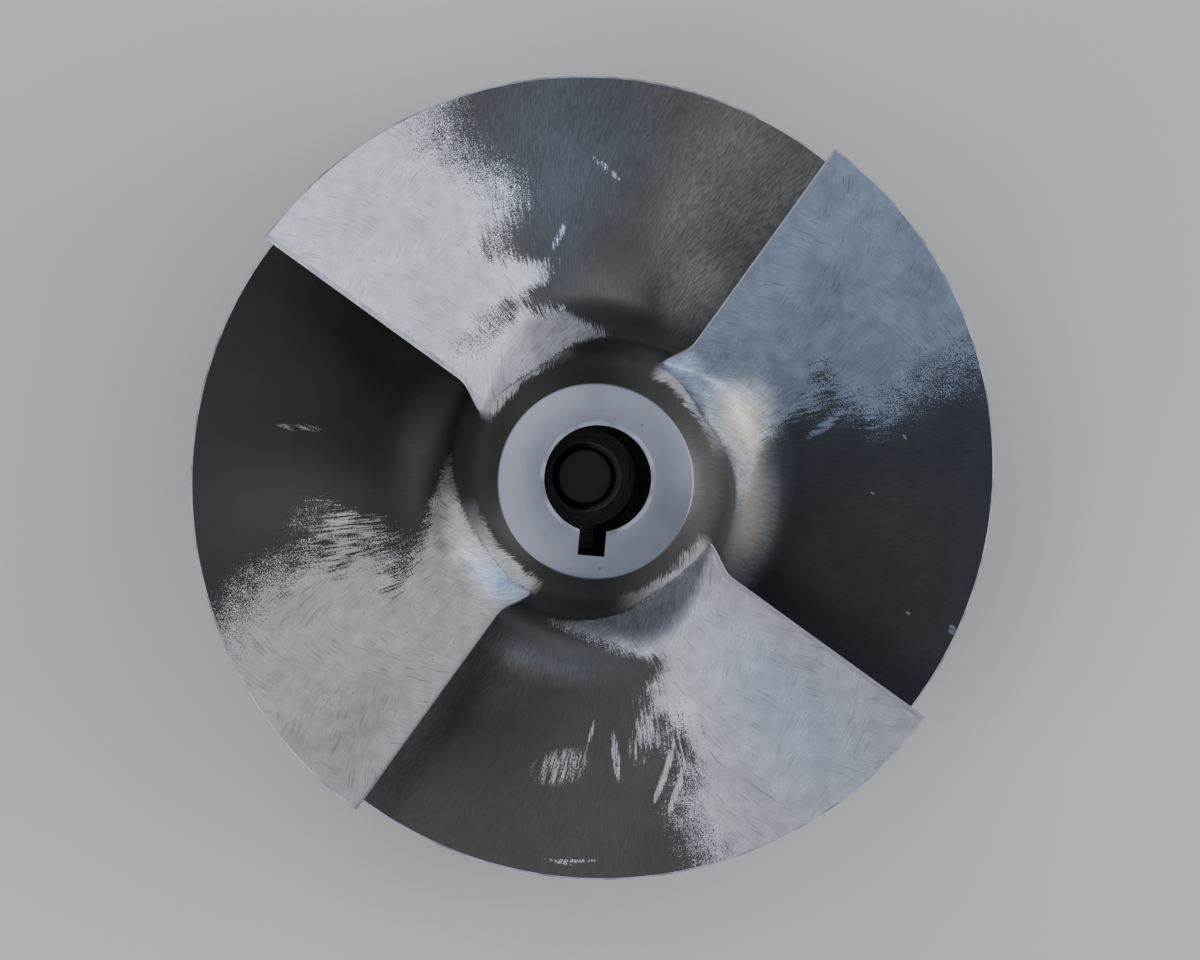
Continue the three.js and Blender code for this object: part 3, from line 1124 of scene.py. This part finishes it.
PHOTO_WIDTH = 1200
PHOTO_HEIGHT = 960
FOCAL_PIXELS = 3300
BORE_CENTRE = (597.9, 478.8)
AXIS_VANISHES = (470, 457)
PIXELS_PER_METRE = 4224
SENSOR = 36
SOFTBOX_SIZE = 0.7
SOFTBOX_DISTANCE = 1.25
FLOOR_REACH = 3
SURROUNDINGS = (0.06, 0.06, 0.065, 1)
WHITE = (1, 1, 1)
COOL = (0.9, 0.95, 1.0)
COOLISH = (0.95, 0.98, 1.0)

# Soft lights: name, direction, tilt from the shaft axis, power, tint.
LIGHTS = (
    ("upper_right_light", 35, 30, 1.7, COOLISH),
    ("lower_left_light", 215, 30, 2.0, WHITE),
    ("upper_left_light", 125, 30, 2.0, WHITE),
    ("lower_right_light", 305, 30, 0.8, COOL),
    ("right_light", 0, 56, 4.0, WHITE),
    ("upper_left_low_light", 125, 68, 0.8, WHITE),
    ("lower_left_low_light", 215, 68, 3.2, COOL),
    ("top_light", 160, 9, 1.1, COOL),
)


def photo_ray(pixel):
    """The direction in which the camera sees a pixel, in the camera's own axes."""
    x = (pixel[0] - PHOTO_WIDTH / 2) / FOCAL_PIXELS
    y = (PHOTO_HEIGHT / 2 - pixel[1]) / FOCAL_PIXELS
    return Vector((x, y, -1))


def make_camera():
    up = -photo_ray(AXIS_VANISHES).normalized()
    right = (Vector((1, 0, 0)) - up * up.x).normalized()
    turned = Matrix((right, up.cross(right), up))
    face = photo_ray(BORE_CENTRE) * (FOCAL_PIXELS / PIXELS_PER_METRE)
    data = bpy.data.cameras.new("camera")
    data.sensor_width = SENSOR
    data.lens = SENSOR * FOCAL_PIXELS / PHOTO_WIDTH
    camera = bpy.data.objects.new("camera", data)
    camera.matrix_world = Matrix.Translation(Vector((0, 0, HIGH.z)) - turned @ face) @ turned.to_4x4()
    bpy.context.scene.collection.objects.link(camera)
    bpy.context.scene.camera = camera


def softbox(name, direction, tilt, power, tint):
    """A square soft light that faces the impeller; its direction and tilt are in degrees."""
    turn = math.radians(direction)
    lean = math.radians(tilt)
    way = Vector((math.cos(turn) * math.sin(lean), math.sin(turn) * math.sin(lean), math.cos(lean)))
    data = bpy.data.lights.new(name, "AREA")
    data.size = SOFTBOX_SIZE
    data.energy = power
    data.color = tint
    lamp = bpy.data.objects.new(name, data)
    lamp.location = way * SOFTBOX_DISTANCE
    aim = Vector((0, 0, HIGH.z / 2)) - lamp.location
    lamp.rotation_euler = aim.to_track_quat("-Z", "Y").to_euler()
    bpy.context.scene.collection.objects.link(lamp)


class ImpellerStage(bpy.types.Operator):
    """Makes the camera, the floor and the lights"""

    bl_idname = "impeller.stage"
    bl_label = "Stage"

    def execute(self, context):
        make_camera()
        mesh = bpy.data.meshes.new("floor")
        signs = ((-1, -1), (1, -1), (1, 1), (-1, 1))
        corners = [(x * FLOOR_REACH, y * FLOOR_REACH, 0) for x, y in signs]
        mesh.from_pydata(corners, [], [(0, 1, 2, 3)])
        floor = bpy.data.objects.new("floor", mesh)
        context.scene.collection.objects.link(floor)
        floor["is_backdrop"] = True
        mesh.materials.append(studio_floor(context.scene.impeller_finish))
        for light in LIGHTS:
            softbox(*light)
        world = bpy.data.worlds.new("studio")
        world.use_nodes = True
        world.node_tree.nodes["Background"].inputs["Color"].default_value = SURROUNDINGS
        context.scene.world = world
        return {"FINISHED"}


class ImpellerBody(bpy.types.Operator):
    """Makes the casting: hub, blades, bore and keyway in one closed mesh"""

    bl_idname = "impeller.body"
    bl_label = "Casting"

    def execute(self, context):
        hub = context.scene.impeller_hub
        blade = context.scene.impeller_blades
        finish = context.scene.impeller_finish
        body = bpy.data.objects.new(PIECE, turned_hub(hub))
        context.scene.collection.objects.link(body)
        tree = blade_tree(blade, hub)
        modifier = body.modifiers.new("blades", "NODES")
        modifier.node_group = tree.nodes
        values = {socket: getattr(blade, name) for name, (socket, _) in INPUTS.items()}
        values |= {
            "Key width": hub.key_width,
            "Key depth": hub.key_depth,
            "Key angle": hub.key_angle,
            "Cast steel": cast_steel(finish, blade),
            "Turned steel": turned_steel(finish),
            "Bored steel": bored_steel(finish, hub),
            "Turned edge": turned_edge(finish),
        }
        for socket, value in values.items():
            modifier[tree.places[socket]] = value
        mesh = settled(body)
        mesh.shade_smooth()
        mesh.set_sharp_from_angle(angle=CREASE)
        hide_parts(NODE)
        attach(body, "root")
        return {"FINISHED"}


class ImpellerPanel(bpy.types.Panel):
    """Lists the impeller's sizes and pieces"""

    bl_idname = "VIEW3D_PT_impeller"
    bl_label = "Impeller"
    bl_space_type = "VIEW_3D"
    bl_region_type = "UI"
    bl_category = "Impeller"

    def draw(self, context):
        layout = self.layout
        for group in ("impeller_hub", "impeller_blades", "impeller_finish"):
            settings = getattr(context.scene, group)
            box = layout.box()
            for name in settings.__annotations__:
                box.prop(settings, name)
        for operator in (ImpellerStage, ImpellerBody):
            layout.operator(operator.bl_idname)


GROUPS = {"impeller_hub": HubSizes, "impeller_blades": BladeSizes, "impeller_finish": Finish}
CLASSES = [*GROUPS.values(), ImpellerStage, ImpellerBody, ImpellerPanel]


def register():
    for made in CLASSES:
        bpy.utils.register_class(made)
    for name, group in GROUPS.items():
        setattr(bpy.types.Scene, name, bpy.props.PointerProperty(type=group))


def unregister():
    for name in GROUPS:
        delattr(bpy.types.Scene, name)
    for made in reversed(CLASSES):
        bpy.utils.unregister_class(made)


def main():
    register()
    bpy.ops.impeller.stage()
    bpy.ops.impeller.body()
    boxes = {"cad": CAD_BOX, "visual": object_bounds()}
    sizes = {name: [list(corner) for corner in box] for name, box in boxes.items()}


if __name__ == "__main__":
    main()
